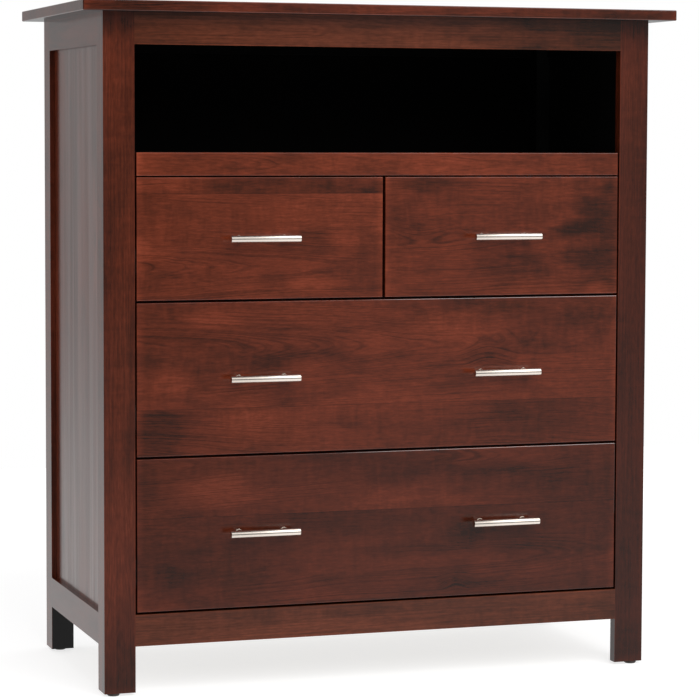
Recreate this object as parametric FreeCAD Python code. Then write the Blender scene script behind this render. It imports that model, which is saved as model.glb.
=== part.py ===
import FreeCAD
import Part
import os

os.makedirs("parts", exist_ok=True)

# Overall sizes of the chest, in millimetres
BODY_WIDTH = 1032.0
BODY_DEPTH = 488.0
TOP_THICKNESS = 19.0
TOP_OVERHANG_FRONT = 32.0
TOP_OVERHANG_SIDE = 42.0
GLIDE_HEIGHT = 5.0
GLIDE_DIAMETER = 22.0
GLIDE_CHAMFER = 1.5

# Face frame: stiles and rails share one width and one thickness
FRAME_WIDTH = 56.0
FRAME_THICKNESS = 20.0
LEG_CLEARANCE = 82.0

# Drawer fronts and the strip under the open compartment
WIDE_FRONT_HEIGHT = 271.0
SMALL_FRONT_HEIGHT = 216.0
STRIP_HEIGHT = 41.0
OPENING_HEIGHT = 187.5
ROW_GAP = 4.0
STRIP_GAP = 2.5
STILE_GAP = 3.0
CENTRE_GAP = 4.6
FRONT_EASE = 1.5
TOP_EASE = 2.0
CORNER_EASE = 1.5

# Side frames
SIDE_STILE_WIDTH = 28.0
REAR_POST_WIDTH = 42.0
REAR_POST_DEPTH = 50.0
PANEL_THICKNESS = 6.0
GROOVE_WALL = 4.8
GROOVE_DEPTH = 10.0

# Boards inside the carcass
BOARD_THICKNESS = 19.0
HOUSING_SKIN = 0.8
PARTITION_HOUSING = 5.0
BACK_PANEL_THICKNESS = 6.0
BACK_INSET = 1.0
BACK_RABBET = 8.0
CABLE_HOLE_DIAMETER = 60.0
CABLE_HOLE_HEIGHT = 60.0
CABLE_HOLE_FROM_POST = 64.0
CLEAT_HEIGHT = 60.0

# Mortises and tenons
TENON_THICKNESS = 8.0
TENON_LENGTH = 25.0
TENON_SHOULDER = 8.0

# Drawer boxes
BOX_THICKNESS = 14.0
BOX_BACK_ROOM = 41.0
BOX_EASE = 2.0
BOX_LIFT = 18.0
BOX_DROP = 22.0
BOTTOM_THICKNESS = 6.0
BOTTOM_LIFT = 10.0
BOTTOM_GROOVE = 6.0
DOVETAIL_PITCH = 46.0
PIN_WIDTH = 7.0
DOVETAIL_SLOPE = 1.0 / 7.0

# Drawer slides: three nested channels of bent sheet
SLIDE_BACK_ROOM = 16.0
SLIDE_SETBACK = 2.0
SLIDE_WIDTH = 12.7
SLIDE_HEIGHT = 45.0
SLIDE_SHEET = 1.2
SLIDE_FLANGE_SHORT = 2.7
SLIDE_ABOVE_BOX = 50.0

# Bar pulls
PULL_LENGTH = 128.0
PULL_SPACING = 84.0
PULL_BAR_DIAMETER = 12.7
PULL_POST_DIAMETER = 10.0
PULL_FOOT_DIAMETER = 13.0
PULL_FOOT_RIM = 0.8
PULL_FOOT_HEIGHT = 2.3
PULL_REACH = 35.0
PULL_CHAMFER = 0.8

# Clearances
RUNNING_GAP = 0.3
WEB_GAP = 0.8
PANEL_PLAY = 0.2
PANEL_ROOM = 2.0
TENON_ROOM = 1.0
DIVIDER_SETBACK = 1.0

# Reference planes worked out from the sizes above
HALF = BODY_WIDTH / 2
REACH = max(PULL_REACH, TOP_OVERHANG_FRONT)
FRONT = REACH - (BODY_DEPTH + REACH) / 2
BACK = FRONT + BODY_DEPTH
BEHIND_FRAME = FRONT + FRAME_THICKNESS
STILE_BACK = BEHIND_FRAME + SIDE_STILE_WIDTH
POST_FRONT = BACK - REAR_POST_DEPTH
BACK_PANEL_FRONT = BACK - BACK_INSET - BACK_PANEL_THICKNESS
OPENING_HALF = HALF - FRAME_WIDTH
SIDE_INNER = HALF - FRAME_THICKNESS
POST_INNER = HALF - REAR_POST_WIDTH
BOX_LENGTH = BACK_PANEL_FRONT - BEHIND_FRAME - BOX_BACK_ROOM
SLIDE_LENGTH = POST_FRONT - BEHIND_FRAME - SLIDE_SETBACK - SLIDE_BACK_ROOM
GROOVE_WIDTH = PANEL_THICKNESS + PANEL_PLAY
HOUSING_DEPTH = GROOVE_WALL - HOUSING_SKIN

LEG_BOTTOM = GLIDE_HEIGHT
RAIL_LOW = LEG_BOTTOM + LEG_CLEARANCE
RAIL_TOP = RAIL_LOW + FRAME_WIDTH
LOWER_LOW = RAIL_TOP + ROW_GAP
LOWER_TOP = LOWER_LOW + WIDE_FRONT_HEIGHT
MIDDLE_LOW = LOWER_TOP + ROW_GAP
MIDDLE_TOP = MIDDLE_LOW + WIDE_FRONT_HEIGHT
UPPER_LOW = MIDDLE_TOP + ROW_GAP
UPPER_TOP = UPPER_LOW + SMALL_FRONT_HEIGHT
STRIP_LOW = UPPER_TOP + STRIP_GAP
SHELF_TOP = STRIP_LOW + STRIP_HEIGHT
SHELF_LOW = SHELF_TOP - BOARD_THICKNESS
TOP_RAIL_LOW = SHELF_TOP + OPENING_HEIGHT
TOP_UNDERSIDE = TOP_RAIL_LOW + FRAME_WIDTH
OVERALL_HEIGHT = TOP_UNDERSIDE + TOP_THICKNESS
FRONT_EDGE = OPENING_HALF - STILE_GAP
PULL_X = (FRONT_EDGE + CENTRE_GAP / 2) / 2


def block(x0, x1, y0, y1, z0, z1):
    """Rectangular solid between two corners."""
    corner = FreeCAD.Vector(x0, y0, z0)
    return Part.makeBox(x1 - x0, y1 - y0, z1 - z0, corner)


def prism(points, direction):
    """Solid swept from a closed outline along a direction."""
    outline = [FreeCAD.Vector(*p) for p in points]
    outline.append(outline[0])
    return Part.Face(Part.makePolygon(outline)).extrude(FreeCAD.Vector(*direction))


def mirrored(shape):
    """The same piece for the other side of the chest."""
    return shape.mirror(FreeCAD.Vector(0, 0, 0), FreeCAD.Vector(1, 0, 0))


def eased(shape, radius, chosen):
    """Round the edges whose middle point is chosen."""
    edges = []
    for edge in shape.Edges:
        if chosen(edge.BoundBox.Center):
            edges.append(edge)
    return shape.makeFillet(radius, edges)


def near(a, b):
    """True for two coordinates on the same plane."""
    return abs(a - b) < 0.01


def save(node, *solids):
    """Write the solids of one node."""
    if len(solids) == 1:
        shape = solids[0]
    else:
        shape = Part.makeCompound(list(solids))
    shape.exportStep("parts/" + node + ".step")


# Inside boards: shelf, two dividers, the bottom board and the upright partition
def carcass_board(y0, z0):
    """Board housed in the side stiles and round the rear posts."""
    wide = SIDE_INNER + HOUSING_DEPTH
    slim = POST_INNER + HOUSING_DEPTH
    main = block(-wide, wide, y0, POST_FRONT + HOUSING_DEPTH, z0, z0 + BOARD_THICKNESS)
    tail = block(-slim, slim, POST_FRONT, BACK_PANEL_FRONT, z0, z0 + BOARD_THICKNESS)
    return main.fuse(tail).removeSplitter()


divider_front = BEHIND_FRAME + DIVIDER_SETBACK
upper_divider_low = UPPER_LOW - ROW_GAP / 2 - BOARD_THICKNESS / 2
lower_divider_low = MIDDLE_LOW - ROW_GAP / 2 - BOARD_THICKNESS / 2
partition_half = BOARD_THICKNESS / 2
partition = block(
    -partition_half,
    partition_half,
    divider_front,
    BACK_PANEL_FRONT,
    upper_divider_low + BOARD_THICKNESS - PARTITION_HOUSING,
    SHELF_LOW + PARTITION_HOUSING,
)
whole_shelf = carcass_board(BEHIND_FRAME, SHELF_LOW)
whole_upper_divider = carcass_board(divider_front, upper_divider_low)
lower_divider = carcass_board(divider_front, lower_divider_low)
carcass_boards = [whole_shelf, whole_upper_divider, lower_divider]

# The bottom board lies between the bottom rails, level with their top edges
back_rail_front = BACK_PANEL_FRONT - FRAME_THICKNESS
bottom_low = RAIL_TOP - BOARD_THICKNESS
bottom_main = block(-SIDE_INNER, SIDE_INNER, BEHIND_FRAME, POST_FRONT, bottom_low, RAIL_TOP)
bottom_tail = block(-POST_INNER, POST_INNER, POST_FRONT, back_rail_front, bottom_low, RAIL_TOP)
bottom_board = bottom_main.fuse(bottom_tail).removeSplitter()

save("media_shelf", whole_shelf.cut(partition))
save("drawer_dividers", whole_upper_divider.cut(partition), lower_divider, bottom_board)
save("drawer_partition", partition)

# Strip across the front edge of the shelf
strip = block(-FRONT_EDGE, FRONT_EDGE, FRONT, BEHIND_FRAME, STRIP_LOW, SHELF_TOP)
save("shelf_front_strip", eased(strip, FRONT_EASE, lambda c: near(c.y, FRONT)))


# Face frame: rails with tenons, stiles with mortises
def tenon(x0, x1, y0, z0, z1):
    """Tongue on the end of a rail that is one frame thickness deep."""
    mid = y0 + FRAME_THICKNESS / 2
    half = TENON_THICKNESS / 2
    return block(x0, x1, mid - half, mid + half, z0 + TENON_SHOULDER, z1 - TENON_SHOULDER)


def cross_rail(half, y0, z0):
    """Rail across the chest with a tenon at each end."""
    z1 = z0 + FRAME_WIDTH
    rail = block(-half, half, y0, y0 + FRAME_THICKNESS, z0, z1)
    tongue = tenon(-half - TENON_LENGTH, half + TENON_LENGTH, y0, z0, z1)
    return rail.fuse(tongue).removeSplitter()


def rail_mortise(half, y0, z0):
    """Pocket that takes the left tenon of a cross rail."""
    depth = TENON_LENGTH + TENON_ROOM
    return tenon(-half - depth, -half, y0, z0, z0 + FRAME_WIDTH)


left_stile = block(-HALF, -OPENING_HALF, FRONT, BEHIND_FRAME, LEG_BOTTOM, TOP_UNDERSIDE)
left_stile = eased(left_stile, CORNER_EASE, lambda c: near(c.x, -HALF) and near(c.y, FRONT))
left_stile = left_stile.cut(rail_mortise(OPENING_HALF, FRONT, TOP_RAIL_LOW))
left_stile = left_stile.cut(rail_mortise(OPENING_HALF, FRONT, RAIL_LOW))
save("left_front_stile", left_stile)
save("right_front_stile", mirrored(left_stile))
save("front_top_rail", cross_rail(OPENING_HALF, FRONT, TOP_RAIL_LOW))
save("front_bottom_rail", cross_rail(OPENING_HALF, FRONT, RAIL_LOW))

# Back rails between the rear posts
back_rails = [cross_rail(POST_INNER, back_rail_front, z0) for z0 in (RAIL_LOW, TOP_RAIL_LOW)]
save("back_rails", *back_rails)

# Left side frame, and the right one as its mirror image
groove_inner = -SIDE_INNER - GROOVE_WALL
groove_outer = groove_inner - GROOVE_WIDTH
stile_groove = block(
    groove_outer, groove_inner, STILE_BACK - GROOVE_DEPTH, STILE_BACK, RAIL_LOW, TOP_UNDERSIDE
)
post_groove = block(
    groove_outer, groove_inner, POST_FRONT, POST_FRONT + GROOVE_DEPTH, RAIL_LOW, TOP_UNDERSIDE
)

side_stile = block(-HALF, -SIDE_INNER, BEHIND_FRAME, STILE_BACK, LEG_BOTTOM, TOP_UNDERSIDE)
side_stile = side_stile.cut(stile_groove)

rear_post = block(-HALF, -POST_INNER, POST_FRONT, BACK, LEG_BOTTOM, TOP_UNDERSIDE)
rear_post = eased(rear_post, CORNER_EASE, lambda c: near(c.x, -HALF) and near(c.y, BACK))
rear_post = rear_post.cut(post_groove)
rabbet_side = -POST_INNER - BACK_RABBET
rear_post = rear_post.cut(
    block(rabbet_side, -POST_INNER, BACK_PANEL_FRONT, BACK, RAIL_LOW, TOP_UNDERSIDE)
)
for rail_low in (RAIL_LOW, TOP_RAIL_LOW):
    rear_post = rear_post.cut(rail_mortise(POST_INNER, back_rail_front, rail_low))
for board in carcass_boards:
    side_stile = side_stile.cut(board)
    rear_post = rear_post.cut(board)


def side_rail(z0, groove_z0, groove_z1):
    """Side rail with a stub tongue at each end and a groove for the panel."""
    z1 = z0 + FRAME_WIDTH
    stub = GROOVE_DEPTH - TENON_ROOM
    rail = block(-HALF, -SIDE_INNER, STILE_BACK, POST_FRONT, z0, z1)
    tongue = block(groove_outer, groove_inner, STILE_BACK - stub, POST_FRONT + stub, z0, z1)
    groove = block(
        groove_outer, groove_inner, STILE_BACK - stub, POST_FRONT + stub, groove_z0, groove_z1
    )
    return rail.fuse(tongue).removeSplitter().cut(groove)


side_bottom_rail = side_rail(RAIL_LOW, RAIL_TOP - GROOVE_DEPTH, RAIL_TOP)
side_top_rail = side_rail(TOP_RAIL_LOW, TOP_RAIL_LOW, TOP_RAIL_LOW + GROOVE_DEPTH)
panel_bite = GROOVE_DEPTH - PANEL_ROOM
side_panel = block(
    groove_inner - PANEL_THICKNESS,
    groove_inner,
    STILE_BACK - panel_bite,
    POST_FRONT + panel_bite,
    RAIL_TOP - GROOVE_DEPTH,
    TOP_RAIL_LOW + panel_bite,
)
side_pieces = {
    "side_stile": side_stile,
    "rear_post": rear_post,
    "side_bottom_rail": side_bottom_rail,
    "side_top_rail": side_top_rail,
    "side_panel": side_panel,
}
for name, shape in side_pieces.items():
    save("left_" + name, shape)
    save("right_" + name, mirrored(shape))

# Back panel in the rabbets of the rear posts, with a cable hole low in a corner of the compartment
back_half = POST_INNER + BACK_RABBET - PANEL_PLAY
back_panel = block(
    -back_half, back_half, BACK_PANEL_FRONT, BACK - BACK_INSET, RAIL_LOW, TOP_UNDERSIDE
)
cable_hole = Part.makeCylinder(
    CABLE_HOLE_DIAMETER / 2,
    BODY_DEPTH,
    FreeCAD.Vector(CABLE_HOLE_FROM_POST - POST_INNER, 0, SHELF_TOP + CABLE_HOLE_HEIGHT),
    FreeCAD.Vector(0, 1, 0),
)
save("back_panel", back_panel.cut(cable_hole))

# Top slab
top = block(
    -HALF - TOP_OVERHANG_SIDE,
    HALF + TOP_OVERHANG_SIDE,
    FRONT - TOP_OVERHANG_FRONT,
    BACK,
    TOP_UNDERSIDE,
    OVERALL_HEIGHT,
)
save("top_panel", eased(top, TOP_EASE, lambda c: not near(c.y, BACK)))

# Floor glides under the four legs
glides = []
front_inset = GLIDE_DIAMETER / 2 + CORNER_EASE
for x in (-HALF, HALF):
    inward = 1 if x < 0 else -1
    front_spot = (x + inward * (FRAME_THICKNESS - CORNER_EASE), FRONT + front_inset)
    rear_spot = (x + inward * REAR_POST_WIDTH / 2, BACK - REAR_POST_DEPTH / 2)
    for gx, gy in (front_spot, rear_spot):
        glide = Part.makeCylinder(GLIDE_DIAMETER / 2, GLIDE_HEIGHT, FreeCAD.Vector(gx, gy, 0))
        rim = [edge for edge in glide.Edges if near(edge.BoundBox.Center.z, 0)]
        glides.append(glide.makeChamfer(GLIDE_CHAMFER, rim))
save("floor_glides", *glides)

# Drawer slides
slide_y0 = BEHIND_FRAME + SLIDE_SETBACK
flange_end = SLIDE_WIDTH - SLIDE_FLANGE_SHORT
middle_web = SLIDE_SHEET + WEB_GAP
drawer_flange = middle_web + SLIDE_SHEET + WEB_GAP
nest = SLIDE_SHEET + RUNNING_GAP


def channel(face, away, z, start, stop, half_height, web_at_stop):
    """Channel seen along the drawer: u runs from the cabinet face to the drawer."""
    inner = half_height - SLIDE_SHEET
    if web_at_stop:
        web_u, open_u = stop, start
        inside_u = stop - SLIDE_SHEET
    else:
        web_u, open_u = start, stop
        inside_u = start + SLIDE_SHEET
    section = [
        (web_u, -half_height),
        (open_u, -half_height),
        (open_u, -inner),
        (inside_u, -inner),
        (inside_u, inner),
        (open_u, inner),
        (open_u, half_height),
        (web_u, half_height),
    ]
    outline = [(face + away * u, slide_y0, z + v) for u, v in section]
    return prism(outline, (0, SLIDE_LENGTH, 0))


def slide_set(face, away, z):
    """Cabinet, middle and drawer member of one slide on a mounting face."""
    half = SLIDE_HEIGHT / 2
    return (
        channel(face, away, z, 0, flange_end, half, False),
        channel(face, away, z, middle_web, flange_end, half - nest, False),
        channel(face, away, z, drawer_flange, SLIDE_WIDTH, half - 2 * nest, True),
    )


# Drawer boxes with through dovetails
def pins_at(x0, x1, y_end, inward, z0, z1):
    """Wedges the box side gives up to the pins of a box front or back."""
    count = max(3, round((z1 - z0) / DOVETAIL_PITCH))
    pitch = (z1 - z0) / count
    flare = PIN_WIDTH / 2 + BOX_THICKNESS * DOVETAIL_SLOPE
    wedges = []
    for i in range(count + 1):
        z = z0 + i * pitch
        shoulder = y_end + inward * BOX_THICKNESS
        outline = [
            (x0, y_end, z - PIN_WIDTH / 2),
            (x0, y_end, z + PIN_WIDTH / 2),
            (x0, shoulder, z + flare),
            (x0, shoulder, z - flare),
        ]
        wedges.append(prism(outline, (x1 - x0, 0, 0)))
    return wedges


def drawer_box(x0, x1, z0, z1):
    """Four dovetailed boards and the bottom panel that sits in their grooves."""
    y0 = BEHIND_FRAME
    y1 = BEHIND_FRAME + BOX_LENGTH
    t = BOX_THICKNESS
    sides = []
    for a, b in ((x0, x0 + t), (x1 - t, x1)):
        side = block(a, b, y0, y1, z0, z1)
        long_top = (y0 + y1) / 2
        side = eased(side, BOX_EASE, lambda c: near(c.y, long_top) and near(c.z, z1))
        wedges = pins_at(a, b, y0, 1, z0, z1) + pins_at(a, b, y1, -1, z0, z1)
        sides.append(side.cut(wedges))
    ends = []
    for a, b in ((y0, y0 + t), (y1 - t, y1)):
        ends.append(block(x0, x1, a, b, z0, z1).cut(sides))
    inset = t - BOTTOM_GROOVE
    low = z0 + BOTTOM_LIFT
    high = low + BOTTOM_THICKNESS
    groove = block(x0 + inset, x1 - inset, y0 + inset, y1 - inset, low, high + PANEL_PLAY)
    inset = inset + PANEL_ROOM / 2
    bottom = block(x0 + inset, x1 - inset, y0 + inset, y1 - inset, low, high)
    return {
        "box_front": ends[0].cut(groove),
        "box_back": ends[1].cut(groove),
        "box_left_side": sides[0].cut(groove),
        "box_right_side": sides[1].cut(groove),
        "box_bottom": bottom,
    }


# Bar pulls: a round bar on two turned posts, wider at the foot and shaped to fit against the bar
def pull(x, z):
    """Solids of one pull centred on a drawer front."""
    bar_y = FRONT - PULL_REACH + PULL_BAR_DIAMETER / 2
    start = FreeCAD.Vector(x - PULL_LENGTH / 2, bar_y, z)
    bar = Part.makeCylinder(PULL_BAR_DIAMETER / 2, PULL_LENGTH, start, FreeCAD.Vector(1, 0, 0))
    foot_radius = PULL_FOOT_DIAMETER / 2
    post_radius = PULL_POST_DIAMETER / 2
    post_length = FRONT - bar_y
    turned = [
        (0, 0),
        (foot_radius, 0),
        (foot_radius, PULL_FOOT_RIM),
        (post_radius, PULL_FOOT_HEIGHT),
        (post_radius, post_length),
        (0, post_length),
    ]
    posts = []
    for side in (-1, 1):
        foot = FreeCAD.Vector(x + side * PULL_SPACING / 2, FRONT, z)
        outline = [foot + FreeCAD.Vector(radius, -out, 0) for radius, out in turned]
        section = Part.Face(Part.makePolygon(outline + outline[:1]))
        post = section.revolve(foot, FreeCAD.Vector(0, -1, 0), 360)
        posts.append(post.cut(bar))
    ends = (x - PULL_LENGTH / 2, x + PULL_LENGTH / 2)
    rims = []
    for edge in bar.Edges:
        if near(edge.BoundBox.Center.x, ends[0]) or near(edge.BoundBox.Center.x, ends[1]):
            rims.append(edge)
    return [bar.makeChamfer(PULL_CHAMFER, rims)] + posts


# The four drawers with their slides
upper_inner = CENTRE_GAP / 2
drawers = {
    "upper_left": (-FRONT_EDGE, -upper_inner, UPPER_LOW, UPPER_TOP, [-PULL_X]),
    "upper_right": (upper_inner, FRONT_EDGE, UPPER_LOW, UPPER_TOP, [PULL_X]),
    "middle": (-FRONT_EDGE, FRONT_EDGE, MIDDLE_LOW, MIDDLE_TOP, [-PULL_X, PULL_X]),
    "lower": (-FRONT_EDGE, FRONT_EDGE, LOWER_LOW, LOWER_TOP, [-PULL_X, PULL_X]),
}
cabinet_members = []
cleats = []
for row, (x0, x1, z0, z1, pull_spots) in drawers.items():
    left_face = -OPENING_HALF if x0 < -upper_inner else partition_half
    right_face = OPENING_HALF if x1 > upper_inner else -partition_half
    box_low = z0 + BOX_LIFT
    box_high = z1 - BOX_DROP
    slide_z = box_low + SLIDE_ABOVE_BOX

    front = block(x0, x1, FRONT, BEHIND_FRAME, z0, z1)
    save(row + "_drawer_front", eased(front, FRONT_EASE, lambda c: near(c.y, FRONT)))

    box = drawer_box(left_face + SLIDE_WIDTH, right_face - SLIDE_WIDTH, box_low, box_high)
    for name, shape in box.items():
        save(row + "_drawer_" + name, shape)

    pull_solids = []
    for x in pull_spots:
        pull_solids.extend(pull(x, (z0 + z1) / 2))
    save(row + "_drawer_pulls", *pull_solids)

    left_slide = slide_set(left_face, 1, slide_z)
    right_slide = slide_set(right_face, -1, slide_z)
    cabinet_members.extend([left_slide[0], right_slide[0]])
    save(row + "_slide_middle_members", left_slide[1], right_slide[1])
    save(row + "_slide_drawer_members", left_slide[2], right_slide[2])

    cleat_low = slide_z - CLEAT_HEIGHT / 2
    cleat_high = slide_z + CLEAT_HEIGHT / 2
    if x0 < -upper_inner:
        cleats.append(
            block(-SIDE_INNER, -OPENING_HALF, BEHIND_FRAME, POST_FRONT, cleat_low, cleat_high)
        )
    if x1 > upper_inner:
        cleats.append(
            block(OPENING_HALF, SIDE_INNER, BEHIND_FRAME, POST_FRONT, cleat_low, cleat_high)
        )
save("slide_cabinet_members", *cabinet_members)
save("slide_cleats", *cleats)
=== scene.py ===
from math import pi, radians

import bmesh
import bpy
from mathutils import Euler, Matrix, Vector


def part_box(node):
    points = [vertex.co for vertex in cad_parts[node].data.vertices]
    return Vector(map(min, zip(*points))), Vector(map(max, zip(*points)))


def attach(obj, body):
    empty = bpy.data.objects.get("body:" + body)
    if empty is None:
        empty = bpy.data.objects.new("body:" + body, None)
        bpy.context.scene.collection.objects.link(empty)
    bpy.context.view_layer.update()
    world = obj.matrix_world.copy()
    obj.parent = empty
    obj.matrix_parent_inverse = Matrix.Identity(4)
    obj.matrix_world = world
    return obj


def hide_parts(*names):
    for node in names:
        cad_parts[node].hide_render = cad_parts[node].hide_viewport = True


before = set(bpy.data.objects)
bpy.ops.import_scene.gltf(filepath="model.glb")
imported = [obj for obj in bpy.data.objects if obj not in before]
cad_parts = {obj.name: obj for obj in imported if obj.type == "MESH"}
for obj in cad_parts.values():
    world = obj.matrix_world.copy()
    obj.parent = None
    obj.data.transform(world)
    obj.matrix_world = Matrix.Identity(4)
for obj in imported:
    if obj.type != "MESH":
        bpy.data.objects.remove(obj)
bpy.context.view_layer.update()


# Side frames. Rear posts, narrow front stiles and two rails a side, glued by stub tongues in the
# grooves that hold a thin flat panel. Maple, wiped with a dark red-brown stain that takes unevenly
# and sprayed with satin lacquer. The faces that look into the open compartment are coloured near
# black as painted shade, and so are the inner and front faces of the rear legs below the side rails.
class Shade:
    """A socket of a shader, so that finishes are written as sums."""

    def __init__(self, socket):
        self.socket = socket
        self.tree = socket.id_data

    def node(self, kind, settings=None, sockets=None, out=0):
        """One output of a new node, from its type, its settings and its sockets' values or links."""
        made = self.tree.nodes.new("ShaderNode" + kind)
        for name, value in (settings or {}).items():
            if name == "stops":
                steps = made.color_ramp.elements
                while len(steps) < len(value):
                    steps.new(1.0)
                for step, (position, colour) in zip(steps, value):
                    step.position = position
                    step.color = (*colour, 1.0)
            else:
                setattr(made, name, value)
        for name, value in (sockets or {}).items():
            if isinstance(value, Shade):
                self.tree.links.new(value.socket, made.inputs[name])
            else:
                made.inputs[name].default_value = value
        return Shade(made.outputs[out])

    def other(self, name):
        """Another output of the same node."""
        return Shade(self.socket.node.outputs[name])

    def math(self, operation, *others):
        return self.node("Math", {"operation": operation}, dict(enumerate((self, *others))))

    def vector(self, operation, *others):
        out = "Value" if operation == "LENGTH" else "Vector"
        sockets = dict(enumerate((self, *others)))
        return self.node("VectorMath", {"operation": operation}, sockets, out)

    def ease(self, start, end):
        """From 0 at start to 1 at end, slow at both."""
        return self.node("MapRange", {"interpolation_type": "SMOOTHSTEP"},
                         {"Value": self, "From Min": start, "From Max": end})

    def ramp(self, stops):
        """The colour that this value has between the stops."""
        return self.node("ValToRGB", {"stops": stops}, {0: self})

    def mix(self, first, second):
        """Two colours, mixed by this value."""
        return self.node("Mix", {"data_type": "RGBA"}, {0: self, 6: first, 7: second}, 2)

    def feed(self, shader, socket):
        self.tree.links.new(self.socket, shader.inputs[socket])

    def __add__(self, other):
        return self.math("ADD", other)

    def __sub__(self, other):
        return self.math("SUBTRACT", other)

    def __rsub__(self, other):
        return self.node("Math", {"operation": "SUBTRACT"}, {0: other, 1: self})

    def __mul__(self, other):
        return self.math("MULTIPLY", other)

    def __truediv__(self, other):
        return self.math("DIVIDE", other)

    __radd__ = __add__
    __rmul__ = __mul__


def new_finish(name, **shader_settings):
    """A material, its shader and the Object coordinates that its patterns read."""
    material = bpy.data.materials.new(name)
    material.use_nodes = True
    shader = material.node_tree.nodes["Principled BSDF"]
    for socket, value in shader_settings.items():
        shader.inputs[socket.replace("_", " ")].default_value = value
    places = material.node_tree.nodes.new("ShaderNodeTexCoord")
    return material, shader, Shade(places.outputs["Object"])


def streaks(grain, stretch, detail=2.0, roughness=0.5, distortion=0.0):
    """Noise with so many turns to the metre along, into and across the board."""
    drawn = grain.vector("MULTIPLY", stretch)
    return drawn.node("TexNoise", {}, {"Vector": drawn, "Scale": 1.0, "Detail": detail,
                                       "Roughness": roughness, "Distortion": distortion})


def from_middle(place, low, high):
    """How far a point lies from the middle of a box, along each axis."""
    return place.vector("SUBTRACT", (low + high) / 2).vector("ABSOLUTE")


def from_nearest_edge(place, low, high):
    """How far a point on a board lies from the nearest edge: the middle one of its three distances
    from the faces."""
    inside = place.node("VectorMath", {"operation": "SUBTRACT"},
                        {0: (high - low) / 2, 1: from_middle(place, low, high)})
    side = inside.node("SeparateXYZ", {}, {0: inside})
    face, end = side.other("Y"), side.other("Z")
    return side.math("MINIMUM", face).math("MAXIMUM", side.math("MAXIMUM", face).math("MINIMUM", end))


def within(place, low, high):
    """1 inside a box and 0 outside."""
    half = (high - low) / 2
    away = from_middle(place, low, high)
    x = away.node("SeparateXYZ", {}, {0: away})
    return (x.math("LESS_THAN", half.x) * x.other("Y").math("LESS_THAN", half.y)
            * x.other("Z").math("LESS_THAN", half.z))


def knot_marks(sideways, upward, knots):
    """How knotted the wood is, how far its rings swell round the knots, and the knots' dark pins."""
    flattening, bulge = 0.62, 0.009
    knotted, swell, pin = 0.0, 0.0, 0.0
    for along, across, size in knots:
        aside = (sideways - along) * flattening
        above = upward - across
        near = (1 - (aside * aside + above * above) / size ** 2).math("MAXIMUM", 0.0)
        knotted = near.ease(0.0, 0.9) + knotted
        swell = near * near * bulge + swell
        pin = near.ease(0.955, 0.995) + pin
    return knotted, swell, pin


def patched(light, sideways, upward, ragged, patches):
    """How light the wood is with its patches, whose outlines ragged breaks up."""
    for along, across, half_long, half_high, lighter in patches:
        aside = (sideways - along) / half_long
        above = (upward - across) / half_high
        near = 1.1 - (aside * aside + above * above).math("SQRT") + ragged
        light = light + near.ease(0.0, 0.9) * lighter
    return light


def coat(node, material):
    """Gives a CAD node one finish all over."""
    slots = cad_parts[node].data.materials
    slots.clear()
    slots.append(material)


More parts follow.
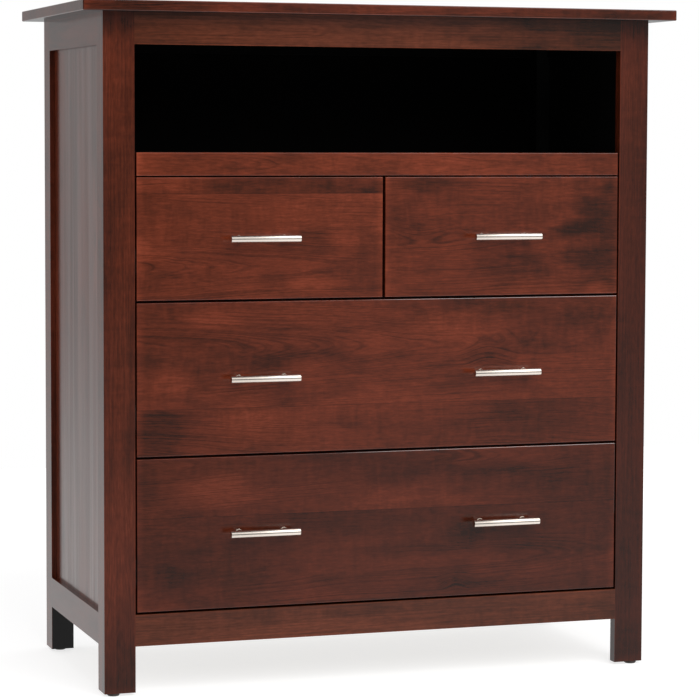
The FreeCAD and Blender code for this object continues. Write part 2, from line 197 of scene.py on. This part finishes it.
def wood(node, kind, turn, seed, tone=1.0, plank=None, joint=0.0, upper_strip=0.0, knots=(),
         patches=(), covers=(), bead_from=None):
    """Coats a board. turn, in degrees, lays its length on X and its face on Y. seed picks its place
    in the tree, and tone scales its colours. A wide board is glued from strips as wide as plank, one
    glue line at joint from its middle, with the strip above it that much lighter. From the board's
    middle, knots are (along, across, size) and patches (along, across, half length, half height,
    lighter) are where the stain took lighter or darker, and on some boards painted shadow or painted
    highlight. covers are spaces whose inside is coloured over: with stain on the front edges of inner
    boards, and elsewhere near black as painted shade. From bead_from on, the lacquer stands thick on
    the upper edge."""
    # Bands along edges: how far from the edge each begins, and how far from it each is full.
    glue_line, end_face, end_band = (0.0012, 0.0002), (0.0012, 0.0003), (0.016, 0.001)
    worn_edge, bead_edge = (0.0024, 0.0004), (0.0015, 0.0011)
    bead_fade, pore_depth = 0.06, 0.0003
    tree_middle, ring_gap, taper = 0.034, 0.0017, 0.034
    start = seed * 1.37

    low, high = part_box(node)
    angles = [radians(angle) for angle in turn]
    lay = Euler(angles).to_matrix()
    half_length = abs((lay @ ((high - low) / 2)).x)
    material, shader, place = new_finish(
        node + "_wood", IOR=1.5, Specular_IOR_Level=kind["shine"])
    laid = place.node("Mapping", {}, {
        "Vector": place, "Rotation": angles,
        "Location": Vector((start, tree_middle, -joint)) - lay @ ((low + high) / 2)})
    along = laid.node("SeparateXYZ", {}, {0: laid})
    deep, across = along.other("Y"), along.other("Z")
    sideways, upward = along - start, across + joint
    reach = sideways.math("ABSOLUTE")
    knotted, swell, pin = knot_marks(sideways, upward, knots)

    # Each strip is cut from another place in the tree.
    strip, seam = 0.0, 0.0
    if plank:
        strip = (across / plank).math("FLOOR")
        across = across - (strip + 0.5) * plank
        seam = across.math("ABSOLUTE").ease(*[plank / 2 - width for width in glue_line])
        along = along + strip * 1.913
        deep = deep + (strip * 0.37 + 0.5).math("FRACT") * 0.02
        across = across + ((strip * 0.618 + 0.3).math("FRACT") - 0.5) * 0.05
    grain = along.node("CombineXYZ", {}, {0: along, 1: deep, 2: across})

    cloud = streaks(grain, (2.0, 6.0, 6.5), detail=1.0)
    blotch = streaks(grain, (8.0, 24.0, 24.0), distortion=0.4)
    flare = streaks(grain, (3.3, 11.0, 13.0), distortion=0.3)
    fibre = streaks(grain, kind["pore_rows"], detail=4.0, roughness=0.75)
    fleck = streaks(grain, (60.0, 260.0, 260.0), roughness=0.7)
    curl = streaks(grain, (66.0, 14.0, 20.0), detail=1.0, distortion=0.8)

    # Growth rings lie round the middle of the tree, and clouds and knots push them out of true.
    radius = grain.vector("MULTIPLY", (0.0, 1.0, 1.0)).vector("LENGTH")
    radius = radius + along * taper + cloud * 0.030 + blotch * 0.006 + swell
    rings = radius.node("CombineXYZ", {}, {0: along * 1.6, 1: radius / ring_gap, 2: strip * 5.3})
    rings = rings.node("TexNoise", {}, {"Vector": rings, "Scale": 1.0, "Detail": 2.0})
    rings = rings.ease(0.46, 0.66) * (flare.ease(0.36, 0.62) + knotted * 0.4)

    # How light the wood comes out, from 0 to 1.
    light = (0.5 + (cloud - 0.5) * kind["cloud"] - blotch.ease(0.46, 0.76) * kind["blotch"]
             + (flare - 0.5) * kind["flare"] + (fibre - 0.5) * kind["fibre"]
             + (fleck - 0.5) * kind["fleck"] - rings * kind["ring"]
             + (curl - 0.5) * flare.ease(0.60, 0.45) * kind["curl"] + kind["lift"])
    light = light - knotted * 0.12 - pin * 0.16 - seam * kind["ring"] * 0.8
    if upper_strip:
        light = light + (strip + 1) * upper_strip
    if patches:
        ragged = (flare - 0.5) * 1.6 + (blotch - 0.5) * 1.2
        light = patched(light, sideways, upward, ragged, patches)
    # Lighter towards both ends of a board.
    lighter_at_ends = reach.ease(*[half_length - width for width in end_band]) * kind["ends_lighter"]
    light = light + lighter_at_ends * flare
    if kind["wear"]:
        from_edge = from_nearest_edge(place, low, high)
        light = light + from_edge.ease(*worn_edge) * flare.ease(0.35, 0.60) * kind["wear"]

    stops = [(position, [channel * tone for channel in stain]) for position, stain in kind["stops"]]
    darkest = (*stops[0][1], 1.0)
    end_grain = reach.ease(*[half_length - width for width in end_face]) * kind["end_grain"]
    colour = end_grain.mix(light.ramp(stops), darkest)
    roughness = kind["roughness"] + (fibre - 0.5) * 0.10 + (blotch - 0.5) * 0.06
    # Inside each cover the colour is replaced: by stain on the front edges of inner boards, elsewhere
    # by near black as painted shade.
    for cover in covers:
        covered_over = within(place, Vector(cover["low"]), Vector(cover["high"]))
        colour = covered_over.mix(colour, (*cover["colour"], 1.0))
        roughness = roughness + covered_over * cover["duller"]
    colour.feed(shader, "Base Color")
    roughness.feed(shader, "Roughness")
    pores = fibre.node("Bump", {}, {
        "Strength": kind["pores"], "Distance": pore_depth, "Height": fibre})
    pores.feed(shader, "Normal")
    if kind["sheen"]:
        lacquer = streaks(grain, (1.3, 55.0, 55.0), detail=1.0)
        (lacquer.ease(0.30, 0.70) * kind["sheen"]).feed(shader, "Coat Weight")
        shader.inputs["Coat Roughness"].default_value = kind["roughness"]
    if bead_from is not None:
        bead = (from_edge.ease(*bead_edge) * upward.ease(0.0, 0.01)
                * sideways.ease(bead_from - bead_fade, bead_from + bead_fade))
        bead.feed(shader, "Coat Weight")
        shader.inputs["Coat Roughness"].default_value = kind["roughness"]
        shader.inputs["Coat IOR"].default_value = 2.0
    coat(node, material)


# stops run from the darkest colour to the lightest. cloud to wear say how far each pattern moves
# the wood along them, and lift moves all of it.
red_stain = dict(
    stops=[(0.00, (0.0220, 0.0052, 0.0020)), (0.25, (0.0500, 0.0098, 0.0034)),
           (0.50, (0.0980, 0.0176, 0.0064)), (0.75, (0.1600, 0.0286, 0.0108)),
           (1.00, (0.2500, 0.0470, 0.0190))],
    cloud=0.80, blotch=0.18, flare=0.44, fibre=0.54, fleck=0.48, curl=0.30, ring=0.24, ends_lighter=0.30,
    wear=0.24, lift=0.13, roughness=0.18, shine=0.5, pore_rows=(18.0, 170.0, 170.0), pores=0.06,
    sheen=0.0, end_grain=0.55)
# Painted shade: inside this space, the faces that look into the open compartment are coloured near
# black.
compartment_painted_shade = dict(low=(-0.5015, -0.2060, 0.94), high=(0.5015, 0.2555, 1.2004),
                   colour=(0.0020, 0.0017, 0.0016), duller=0.40)
# Painted shade under the chest: below the side rails, the inner and front faces of the rear legs are
# coloured near black.
painted_shade_under_chest = dict(compartment_painted_shade, low=(-0.5154, 0.0, -0.01), high=(0.5154, 0.2609, 0.0905),
                    duller=0.0)
streaked_stain = dict(red_stain, fibre=0.9, fleck=0.2, curl=0.0, ring=0.3, pores=0.20, sheen=0.3)
upright_on_side, along_on_side = (-90, 0, -90), (0, 0, -90)
for number, side in enumerate(("left", "right")):
    wood(side + "_side_stile", red_stain, upright_on_side, seed=1 + number, tone=0.88,
         covers=[compartment_painted_shade])
    wood(side + "_rear_post", red_stain, upright_on_side, seed=3 + number, tone=0.88,
         covers=[compartment_painted_shade, painted_shade_under_chest])
    wood(side + "_side_bottom_rail", red_stain, along_on_side, seed=5 + number, tone=0.75)
    wood(side + "_side_top_rail", red_stain, along_on_side, seed=7 + number, tone=0.75,
         covers=[compartment_painted_shade])
    wood(side + "_side_panel", streaked_stain, upright_on_side, seed=9 + number, tone=0.95,
         plank=0.105, covers=[compartment_painted_shade])


# Face frame. Two stiles that run on down as the front legs and two rails mortised into them, glued
# over the front of the side frames. Same stained maple, its edges taken off with sandpaper.
upright_in_front, along_in_front = (0, 90, 0), (0, 0, 0)
straight_stain = dict(red_stain, fibre=0.85, fleck=0.50, ring=0.10, pore_rows=(5.0, 300.0, 300.0))
# At the top of each stile, the darker patch is a painted shadow of the top's overhang.
wood("left_front_stile", straight_stain, upright_in_front, seed=44, tone=0.66,
     patches=[(0.0, 0.0, 0.250, 0.060, -0.12), (-0.350, 0.0, 0.180, 0.060, 0.10),
              (-0.570, 0.0, 0.060, 0.060, -0.14), (0.600, 0.0, 0.050, 0.060, -0.25),
              (-0.597, 0.0, 0.030, 0.060, -0.12)])
wood("right_front_stile", straight_stain, upright_in_front, seed=67, tone=0.46,
     patches=[(-0.560, 0.0, 0.080, 0.060, -0.14), (-0.330, 0.0, 0.220, 0.060, -0.10),
              (0.600, 0.0, 0.050, 0.060, -0.34), (0.490, 0.0, 0.060, 0.060, 0.14)])
browner_stain = dict(straight_stain, stops=[
    (0.00, (0.0220, 0.0068, 0.0029)), (0.25, (0.0500, 0.0128, 0.0048)),
    (0.50, (0.0980, 0.0230, 0.0090)), (0.75, (0.1600, 0.0374, 0.0152)),
    (1.00, (0.2500, 0.0600, 0.0260))])
# Both patches, on the right half of the top rail, are painted shadow of the top's overhang.
wood("front_top_rail", browner_stain, along_in_front, seed=68, tone=0.74,
     patches=[(0.460, 0.0, 0.210, 0.060, -0.26), (0.260, 0.0, 0.120, 0.060, -0.14)])
wood("front_bottom_rail", browner_stain, along_in_front, seed=69, tone=0.93)


# Inside boards. The shelf and two dividers housed in the side frames, an upright partition housed
# between them, a bottom board, two mortised back rails and glued cleats for the slides. Poplar, bare
# but for stained front edges; the shelf, which floors the open compartment, is coloured near black as
# painted shade, as are the back rails' faces inside the compartment.
bare_poplar = dict(
    red_stain,
    stops=[(0.00, (0.300, 0.225, 0.105)), (0.35, (0.470, 0.370, 0.200)),
           (0.65, (0.590, 0.475, 0.285)), (1.00, (0.680, 0.560, 0.365))],
    cloud=0.8, blotch=0.16, flare=0.14, fibre=0.45, fleck=0.20, curl=0.10, ring=0.26, ends_lighter=0.0,
    wear=0.0, lift=0.08, roughness=0.55, shine=0.3)
# Near black all over: painted shade of the floor of the open compartment.
black_painted_shade = dict(
    bare_poplar,
    stops=[(0.00, (0.0012, 0.0010, 0.0010)), (0.50, (0.0022, 0.0018, 0.0017)),
           (1.00, (0.0042, 0.0034, 0.0030))],
    cloud=0.7, blotch=0.10, flare=0.10, fibre=0.60, fleck=0.20, curl=0.10, ring=0.20, ends_lighter=0.1,
    lift=0.05, roughness=0.60, shine=0.12)
stained_edges = dict(low=(-0.6, -0.3, 0.0), high=(0.6, -0.19, 1.3),
                     colour=(0.0180, 0.0050, 0.0032), duller=0.0)
along_and_flat = (90, 0, 0)
wood("media_shelf", black_painted_shade, along_and_flat, seed=15, plank=0.12)
wood("drawer_dividers", bare_poplar, along_and_flat, seed=16, plank=0.11, covers=[stained_edges])
wood("drawer_partition", bare_poplar, along_on_side, seed=17, covers=[stained_edges])
wood("back_rails", bare_poplar, along_in_front, seed=18, covers=[compartment_painted_shade])
wood("slide_cleats", bare_poplar, along_on_side, seed=19)


# Shelf strip. A plain fixed board between the compartment and the drawers, glued to the front edge
# of the shelf. Stained maple, one of the reddest boards.
wood("shelf_front_strip", red_stain, along_in_front, seed=75, tone=1.16,
     patches=[(-0.286, -0.005, 0.030, 0.010, -0.12), (-0.190, 0.008, 0.050, 0.012, -0.14),
              (0.420, 0.010, 0.050, 0.012, -0.20)])


# Back panel. One sheet of thin plywood, stained dark, in rabbets of the rear posts and against the
# back rails, held by low screws. A round hole low in a corner of the compartment lets leads out.
dark_ply = dict(
    bare_poplar,
    stops=[(0.00, (0.0220, 0.0082, 0.0050)), (0.50, (0.0520, 0.0170, 0.0088)),
           (1.00, (0.0900, 0.0280, 0.0130))],
    cloud=1.3, blotch=0.20, flare=0.20, fibre=0.45, fleck=0.20, curl=0.14, ring=0.40, lift=0.12,
    roughness=0.50, shine=0.2)
wood("back_panel", dark_ply, upright_in_front, seed=21, covers=[compartment_painted_shade])


# Top. Glued up from wide boards, with a square edge that stands out at the front and the sides,
# screwed on from below through the frame. Stained maple.
# Painted shade: the whole underside of the top, the overhang too, is coloured near black.
painted_shade_under_top = dict(compartment_painted_shade, low=(-0.6, -0.3, 1.19), high=(0.6, 0.3, 1.2004), duller=0.0)
# On the front edge, the lighter patch left of the middle is a painted highlight; the left end is
# coloured darker.
wood("top_panel", red_stain, along_and_flat, seed=22, tone=0.98, plank=0.13,
     patches=[(-0.480, -0.250, 0.110, 0.040, -0.22), (-0.270, -0.255, 0.070, 0.025, 0.16)],
     covers=[painted_shade_under_top])


# Floor glides. A round nylon button under each leg, with its lower edge taken off, on a pin that is
# driven into the end of the wood. Dark brown, and scuffed by the floor.
nylon, nylon_shader, place = new_finish("nylon", IOR=1.53)
scuff = streaks(place, (260.0, 260.0, 260.0), detail=4.0, roughness=0.6)
browns = scuff.ramp([(0.3, (0.035, 0.028, 0.024)), (0.7, (0.075, 0.062, 0.054))])
browns.feed(nylon_shader, "Base Color")
(0.36 + scuff * 0.2).feed(nylon_shader, "Roughness")
coat("floor_glides", nylon)


# Drawer slides. Ball-bearing runners in three members, rolled from strip steel and zinc plated: one
# screwed to the cabinet, one to the box, and one between them that goes half the way.
zinc, zinc_shader, place = new_finish("zinc_plate", Metallic=1.0)
rolled = streaks(place, (900.0, 14.0, 900.0), detail=3.0, roughness=0.6)
spangle = streaks(place, (70.0, 45.0, 70.0))
greys = spangle.ramp([(0.3, (0.46, 0.48, 0.50)), (0.7, (0.62, 0.63, 0.64))])
greys.feed(zinc_shader, "Base Color")
(0.22 + rolled * 0.22 + spangle * 0.08).feed(zinc_shader, "Roughness")
coat("slide_cabinet_members", zinc)
drawers = ("upper_left", "upper_right", "middle", "lower")
for row in drawers:
    coat(row + "_slide_middle_members", zinc)
    coat(row + "_slide_drawer_members", zinc)


# Drawer boxes. Clear-lacquered maple walls, dovetailed at all four corners, with a birch plywood
# bottom in a groove.
clear_maple = dict(
    bare_poplar,
    stops=[(0.00, (0.400, 0.255, 0.130)), (0.35, (0.560, 0.395, 0.230)),
           (0.65, (0.655, 0.490, 0.310)), (1.00, (0.730, 0.575, 0.395))],
    cloud=1.0, blotch=0.10, flare=0.24, fibre=0.60, fleck=0.30, curl=0.24, ring=0.36, lift=0.06,
    roughness=0.36, shine=0.5, end_grain=0.95)
birch_ply = dict(
    bare_poplar,
    stops=[(0.00, (0.430, 0.300, 0.170)), (0.50, (0.610, 0.455, 0.285)),
           (1.00, (0.720, 0.570, 0.390))],
    cloud=1.3, blotch=0.10, flare=0.24, fibre=0.50, fleck=0.30, curl=0.16, ring=0.46,
    roughness=0.42, shine=0.4)
for number, row in enumerate(drawers):
    seed = 30 + 5 * number
    wood(row + "_drawer_box_front", clear_maple, along_in_front, seed=seed)
    wood(row + "_drawer_box_back", clear_maple, along_in_front, seed=seed + 1)
    wood(row + "_drawer_box_left_side", clear_maple, along_on_side, seed=seed + 2)
    wood(row + "_drawer_box_right_side", clear_maple, along_on_side, seed=seed + 3)
    wood(row + "_drawer_box_bottom", birch_ply, along_and_flat, seed=seed + 4)


# Drawer fronts. Wide boards glued from strips, inset in the frame with an even gap, screwed to the
# boxes from inside. Stained maple; the two lower ones are coloured darker.
wood("upper_left_drawer_front", red_stain, along_in_front, seed=104, plank=0.24, joint=0.079,
     upper_strip=-0.06,
     patches=[(-0.160, 0.095, 0.080, 0.030, 0.16), (0.195, -0.010, 0.030, 0.040, -0.14),
              (-0.190, 0.020, 0.045, 0.060, 0.14), (0.100, -0.086, 0.060, 0.022, 0.20),
              (0.060, 0.045, 0.160, 0.025, 0.06), (-0.222, -0.020, 0.020, 0.100, 0.16),
              (0.075, -0.010, 0.060, 0.035, -0.18), (0.020, -0.075, 0.040, 0.025, -0.16),
              (0.185, 0.106, 0.085, 0.020, 0.24), (0.135, 0.045, 0.120, 0.045, -0.10)])
wood("upper_right_drawer_front", red_stain, along_in_front, seed=116,
     knots=[(-0.165, 0.020, 0.050)],
     patches=[(0.205, -0.005, 0.110, 0.110, -0.42), (-0.140, 0.098, 0.090, 0.024, -0.20),
              (0.010, -0.055, 0.100, 0.035, -0.22), (0.100, 0.075, 0.060, 0.030, 0.12),
              (0.190, -0.098, 0.030, 0.018, 0.30), (-0.130, -0.030, 0.090, 0.060, 0.05),
              (-0.147, 0.036, 0.070, 0.036, 0.22), (0.150, 0.015, 0.060, 0.030, -0.24)])
wood("middle_drawer_front", red_stain, along_in_front, seed=95, tone=0.92, plank=0.19, joint=-0.053,
     knots=[(0.275, 0.058, 0.038), (0.205, 0.030, 0.040)],
     patches=[(-0.420, -0.095, 0.050, 0.040, -0.20), (-0.270, -0.075, 0.080, 0.030, 0.20),
              (-0.210, 0.035, 0.110, 0.022, -0.14), (0.205, 0.030, 0.050, 0.022, -0.12),
              (-0.400, 0.0, 0.060, 0.040, 0.26), (-0.330, 0.105, 0.070, 0.025, 0.22),
              (0.020, 0.030, 0.180, 0.090, -0.20), (-0.380, 0.040, 0.090, 0.030, 0.24),
              (-0.452, 0.020, 0.016, 0.110, 0.14), (-0.150, -0.030, 0.110, 0.025, -0.16),
              (0.130, -0.030, 0.060, 0.022, -0.18), (0.420, 0.060, 0.030, 0.030, -0.16),
              (-0.035, 0.055, 0.050, 0.025, 0.14)], bead_from=0.0)
wood("lower_drawer_front", red_stain, along_in_front, seed=107, tone=0.69, plank=0.17, joint=0.0295,
     upper_strip=0.04, knots=[(0.158, -0.020, 0.030), (0.140, -0.105, 0.026)],
     patches=[(-0.310, 0.080, 0.105, 0.048, 0.24), (-0.440, 0.090, 0.030, 0.050, -0.16),
              (0.220, 0.095, 0.060, 0.020, -0.18), (0.300, -0.095, 0.050, 0.020, 0.16),
              (0.440, -0.020, 0.030, 0.080, -0.14), (-0.380, -0.080, 0.080, 0.030, -0.10),
              (0.120, 0.044, 0.330, 0.012, 0.12), (0.020, -0.045, 0.200, 0.022, -0.18),
              (0.210, -0.085, 0.050, 0.020, 0.16)], bead_from=-0.05)


# Pulls. A round bar on two round posts, of steel plated in satin nickel and brushed along the bar,
# held by machine screws through the front.
bar_radius, bar_half, bar_edge = 0.00635, 0.064, 0.0006
post_radius, post_half_spread = 0.005, 0.042
foot_radius, foot_height, foot_edge = 0.0059, 0.0010, 0.00015
nickel, nickel_shader, place = new_finish("satin_nickel", Metallic=1.0)
brushed = streaks(place, (20.0, 1400.0, 1400.0), detail=3.0, roughness=0.6)
whites = brushed.ramp([(0.3, (0.70, 0.62, 0.55)), (0.7, (0.78, 0.70, 0.63))])
whites.feed(nickel_shader, "Base Color")
(0.17 + brushed * 0.06).feed(nickel_shader, "Roughness")
turning_steps, hair = 48, 1e-6


def laid_along(axis, middle):
    """The turn and the shift that lay a round shape along an axis."""
    turn = Vector((0, 0, 1)).rotation_difference(Vector(axis)).to_matrix().to_4x4()
    return Matrix.Translation(middle) @ turn


def round_over(mesh, edges, width, segments):
    bmesh.ops.bevel(mesh, geom=edges, offset=width, offset_type="OFFSET", affect="EDGES",
                    segments=segments, profile=0.5, material=-1)


def round_bar(mesh, middle):
    """A closed round bar along X with its two end edges rounded over."""
    earlier = set(mesh.edges)
    bmesh.ops.create_cone(
        mesh, cap_ends=True, segments=turning_steps, radius1=bar_radius, radius2=bar_radius,
        depth=2 * bar_half, matrix=laid_along((1, 0, 0), middle))
    rims = [edge for edge in mesh.edges if edge not in earlier
            and any(len(face.verts) == turning_steps for face in edge.link_faces)]
    round_over(mesh, rims, bar_edge, segments=4)


def turned_post(mesh, foot, length):
    """A post turned about its axis, wider at the foot, from the front's face into the bar."""
    outline = [(0.0, 0.0), (foot_radius, 0.0), (foot_radius, foot_height), (post_radius, foot_height),
               (post_radius, length), (0.0, length)]
    earlier_verts, earlier_faces = set(mesh.verts), set(mesh.faces)
    corners = [mesh.verts.new(foot + Vector((radius, -out, 0.0))) for radius, out in outline]
    sides = [mesh.edges.new(pair) for pair in zip(corners, corners[1:])]
    bmesh.ops.spin(mesh, geom=corners + sides, cent=foot, axis=(0, 1, 0), angle=2 * pi,
                   steps=turning_steps, use_merge=True)
    turned = [vert for vert in mesh.verts if vert not in earlier_verts]
    bmesh.ops.remove_doubles(mesh, verts=turned, dist=hair)
    bmesh.ops.recalc_face_normals(
        mesh, faces=[face for face in mesh.faces if face not in earlier_faces])
    rim_reach = Vector((foot_radius, foot_height)).length
    rim = [edge for edge in mesh.edges
           if all(abs((vert.co - foot).length - rim_reach) < hair for vert in edge.verts)]
    round_over(mesh, rim, foot_edge, segments=3)


def add_piece(name, mesh, material, body):
    """The finished mesh as a piece of the object, smooth but for its sharp edges."""
    data = bpy.data.meshes.new(name)
    mesh.normal_update()
    mesh.to_mesh(data)
    mesh.free()
    data.materials.append(material)
    data.shade_smooth()
    data.set_sharp_from_angle(angle=radians(35))
    piece = bpy.data.objects.new(name, data)
    bpy.context.collection.objects.link(piece)
    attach(piece, body)
    return piece


def bar_middles(row):
    """How far across and how high the bars of a drawer have their middles."""
    low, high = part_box(row + "_drawer_pulls")
    left, right = low.x + bar_half, high.x - bar_half
    across = (left, right) if right - left > bar_half else (left,)
    return [(x, (low.z + high.z) / 2) for x in across]


for row in drawers:
    node = row + "_drawer_pulls"
    front_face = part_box(row + "_drawer_front")[0].y
    bar_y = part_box(node)[0].y + bar_radius
    mesh = bmesh.new()
    for x, z in bar_middles(row):
        round_bar(mesh, (x, bar_y, z))
        for side in (-1, 1):
            foot = Vector((x + side * post_half_spread, front_face, z))
            turned_post(mesh, foot, front_face - bar_y)
    pulls = add_piece(row + "_nickel_pulls", mesh, nickel, row + "_drawer")
    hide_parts(node)


# Screws. Round-headed steel screws with a star-shaped drive, zinc plated. From inside the boxes
# they hold the pulls and the fronts; low ones hold the back panel to the posts and rails.
def screw_head(mesh, foot, radius, height):
    """A head that faces backwards. Drawing in every second corner of its socket makes the star."""
    corner_count, crown_share, rim_share = 12, 0.8, 0.32
    waist, wall_share, sunk_share = 0.7, 0.02, 0.6
    backwards = Vector((0, 1, 0))
    made = bmesh.ops.create_cone(
        mesh, cap_ends=True, segments=corner_count, radius1=radius, radius2=radius * crown_share,
        depth=height, matrix=laid_along(backwards, foot + backwards * (height / 2)))["verts"]
    caps = {face for vert in made for face in vert.link_faces if len(face.verts) == corner_count}
    crown = max(caps, key=lambda face: face.calc_center_median().y)
    bmesh.ops.inset_region(mesh, faces=[crown], thickness=radius * rim_share, use_even_offset=True)
    centre = crown.calc_center_median()
    for corner in list(crown.verts)[1::2]:
        corner.co = centre.lerp(corner.co, waist)
    bmesh.ops.inset_region(mesh, faces=[crown], thickness=radius * wall_share,
                           depth=-height * sunk_share)


def add_screws(name, body, holes, face, radius, height):
    """One piece of all the screw heads on the back face of a board."""
    mesh = bmesh.new()
    for x, z in holes:
        screw_head(mesh, Vector((x, face, z)), radius, height)
    add_piece(name, mesh, zinc, body)


from_side, from_bottom, from_top = 0.06, 0.05, 0.04
for row in drawers:
    low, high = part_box(row + "_drawer_box_front")
    holes = [(x + side * post_half_spread, z) for x, z in bar_middles(row) for side in (-1, 1)]
    holes += [(x, z) for x in (low.x + from_side, high.x - from_side)
              for z in (low.z + from_bottom, high.z - from_top)]
    add_screws(row + "_drawer_screws", row + "_drawer", holes, high.y, radius=0.0046, height=0.0024)

rail_start, rail_step, rail_inset = 0.032, 0.1533, 0.028
post_start, post_step, post_inset = 0.10, 0.1525, 0.0042
screws_a_side = 7
low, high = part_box("back_panel")
holes = []
for number in range(screws_a_side):
    x = low.x + rail_start + number * rail_step
    z = low.z + post_start + number * post_step
    holes += [(x, low.z + rail_inset), (x, high.z - rail_inset)]
    holes += [(low.x + post_inset, z), (high.x - post_inset, z)]
add_screws("back_panel_screws", "cabinet", holes, high.y, radius=0.0032, height=0.0009)


# Floor and light. A flat pale floor that fades into a white backdrop, under one broad soft lamp high
# in front. The lacquer and the metal mirror the backdrop at half its brightness and, in front, a
# dimmer room that is lighter above and on the floor, with a light box.
floor_half, floor_grey, white = 3.0, (0.50, 0.50, 0.50, 1.0), (1.0, 1.0, 1.0, 1.0)
floor_mesh = bmesh.new()
bmesh.ops.create_grid(floor_mesh, x_segments=2, y_segments=2, size=floor_half)
floor_data = bpy.data.meshes.new("floor")
floor_mesh.to_mesh(floor_data)
floor_mesh.free()
floor = bpy.data.objects.new("floor", floor_data)
bpy.context.collection.objects.link(floor)
floor.visible_glossy = False
pale, pale_shader, place = new_finish(
    "pale_floor", Base_Color=floor_grey, Roughness=0.9, Specular_IOR_Level=0.0)
far = place.vector("LENGTH").ease(1.0, 2.6)
seen = place.node("LightPath", {}, {}, "Is Camera Ray") * (0.74 + far * 0.26)
glow = seen.node("Emission", {}, {"Color": white, "Strength": seen})
lit = seen.node("AddShader", {}, {0: Shade(pale_shader.outputs[0]), 1: glow})
lit.feed(pale.node_tree.nodes["Material Output"], "Surface")
floor_data.materials.append(pale)

room = bpy.data.worlds.new("room")
bpy.context.scene.world = room
room.use_nodes = True
room_light = room.node_tree.nodes["Background"]
way = Shade(room.node_tree.nodes.new("ShaderNodeTexCoord").outputs["Generated"])
rightward = way.node("SeparateXYZ", {}, {0: way}, "X")
backward, upward = rightward.other("Y"), rightward.other("Z")
camera_ray = way.node("LightPath", {}, {}, "Is Camera Ray")
glossy_ray = camera_ray.other("Is Glossy Ray")
right_half = rightward.ease(0.23, 0.33)
ceiling = upward.ease(0.18, 0.36) * upward.ease(0.97, 0.80)
far_floor, near_floor = upward.ease(-0.04, -0.19), upward.ease(-0.22, -0.42)
light_box = (rightward.ease(0.29, 0.34) * rightward.ease(0.60, 0.48) * backward.ease(0.2, 0.0)
             * upward.ease(0.34, 0.48) * upward.ease(0.97, 0.90))
in_front = (0.12 + right_half * 0.20 + far_floor * 0.28 + ceiling * 0.95 + near_floor * 0.65
            + light_box * 2.0)
behind = backward.ease(-0.1, 0.6)
backdrop = 0.44 + upward.ease(-0.05, -0.16) * 0.30
mirrored = in_front * (1 - behind) + behind * backdrop
ambient = (0.12 + backward.ease(-0.3, 0.6) * 0.45
           + rightward.math("ABSOLUTE").ease(0.25, 0.90) * 0.60)
strength = camera_ray + (1 - camera_ray) * (glossy_ray * mirrored + (1 - glossy_ray) * ambient)
strength.feed(room_light, "Strength")
room_light.inputs["Color"].default_value = white

lamp = bpy.data.lights.new("key", "AREA")
lamp.shape = "SQUARE"
lamp.size = 3.0
lamp.energy = 121.0
key = bpy.data.objects.new("key", lamp)
key.location = (0.50, -3.3, 2.9)
aim = Vector((0.0, -0.2, 0.70))
key.rotation_euler = (aim - key.location).to_track_quat("-Z", "Y").to_euler()
key.visible_glossy = False
bpy.context.collection.objects.link(key)


# Camera. Standing a little to the left, somewhat below the height of the top, with a long lens. The
# frame is shifted slightly down, so that the camera needs less tilt to take in the feet.
lens = bpy.data.cameras.new("camera")
lens.lens = 138.37
lens.sensor_width = 36.0
lens.shift_y = -0.04
tilt_down, roll, swing = 3.979, -0.2, -18.416
camera = bpy.data.objects.new("camera", lens)
camera.location = (-1.5864, -4.7953, 0.9882)
camera.rotation_euler = [radians(angle) for angle in (90 - tilt_down, roll, swing)]
bpy.context.collection.objects.link(camera)
bpy.context.scene.camera = camera
bpy.context.scene.view_settings.view_transform = "Standard"
